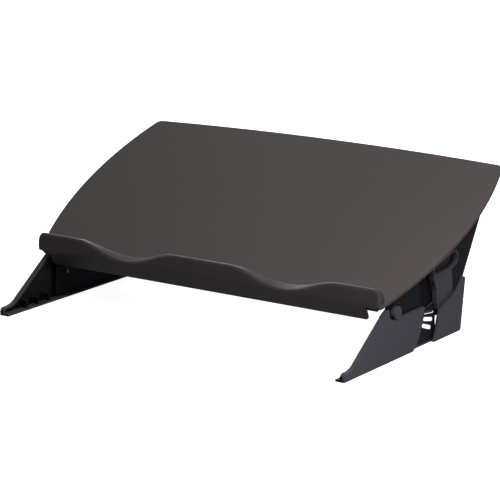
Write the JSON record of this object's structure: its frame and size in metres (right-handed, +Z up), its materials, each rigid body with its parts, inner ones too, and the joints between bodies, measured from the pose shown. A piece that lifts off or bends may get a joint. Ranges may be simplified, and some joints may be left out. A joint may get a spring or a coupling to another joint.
{
  "type": "document slope",
  "caption": "Desk document slope: a wide platform with a wavy ledge that glides on a tilting carrier, held at one of several heights by squeeze levers on hollow legs.",
  "frame": {"origin": "on the desk, under the middle of the whole box of the part at rest", "axes": "+Z up, +X to the user's right, +Y away from the user, up the slope"},
  "size_m": [0.559, 0.3589, 0.1966],
  "materials": {
    "grey_plastic": "satin",
    "platform_laminate": "fine grain",
    "ledge_plastic": "satin",
    "painted_sheet": "satin black",
    "black_plastic": "satin",
    "steel": "drawn",
    "rubber": "matt",
    "felt": "felt",
    "bearing_plastic": "smooth"
  },
  "bodies": {
    "base": {"left_leg": "grey_plastic", "right_leg": "grey_plastic", "left_height_plate": "black_plastic", "right_height_plate": "black_plastic", "height_plate_screws": "steel", "left_pivot_pin": "steel", "right_pivot_pin": "steel", "left_pivot_cap": "grey_plastic", "right_pivot_cap": "grey_plastic", "rubber_feet": "rubber"},
    "carrier": {"left_side_panel": "black_plastic", "right_side_panel": "black_plastic", "left_pivot_bush": "bearing_plastic", "right_pivot_bush": "bearing_plastic", "carrier_deck": "black_plastic", "panel_screws": "steel", "left_rail": "painted_sheet", "right_rail": "painted_sheet", "rail_screws": "steel", "rail_buffers": "rubber", "felt_pads": "felt", "left_lever_pin": "steel", "right_lever_pin": "steel", "left_lever_spring": "steel", "right_lever_spring": "steel"},
    "platform": {"platform_plate": "platform_laminate", "ledge": "ledge_plastic", "ledge_screws": "steel", "left_runner": "bearing_plastic", "right_runner": "bearing_plastic", "runner_screws": "steel"},
    "left_lever": {"left_latch_lever": "grey_plastic"},
    "right_lever": {"right_latch_lever": "grey_plastic"}
  },
  "joints": [
    {"name": "carrier_tilt", "type": "hinge", "parent": "base", "child": "carrier", "pos_m": [0, -0.06296, 0.0565], "axis": [1, 0, 0], "range_deg": [-12, 0]},
    {"name": "platform_glide", "type": "slide", "parent": "carrier", "child": "platform", "axis": [0, -0.9103, -0.4141], "range_m": [0, 0.07]},
    {"name": "left_lever", "type": "hinge", "parent": "carrier", "child": "left_lever", "pos_m": [-0.243, 0.05253, 0.07], "axis": [0, -1, 0], "range_deg": [-3.6, 1.5], "stiffness_Nm_per_rad": 0.1},
    {"name": "right_lever", "type": "hinge", "parent": "carrier", "child": "right_lever", "pos_m": [0.243, 0.05253, 0.07], "axis": [0, 1, 0], "range_deg": [-3.6, 1.5], "stiffness_Nm_per_rad": 0.1}
  ]
}
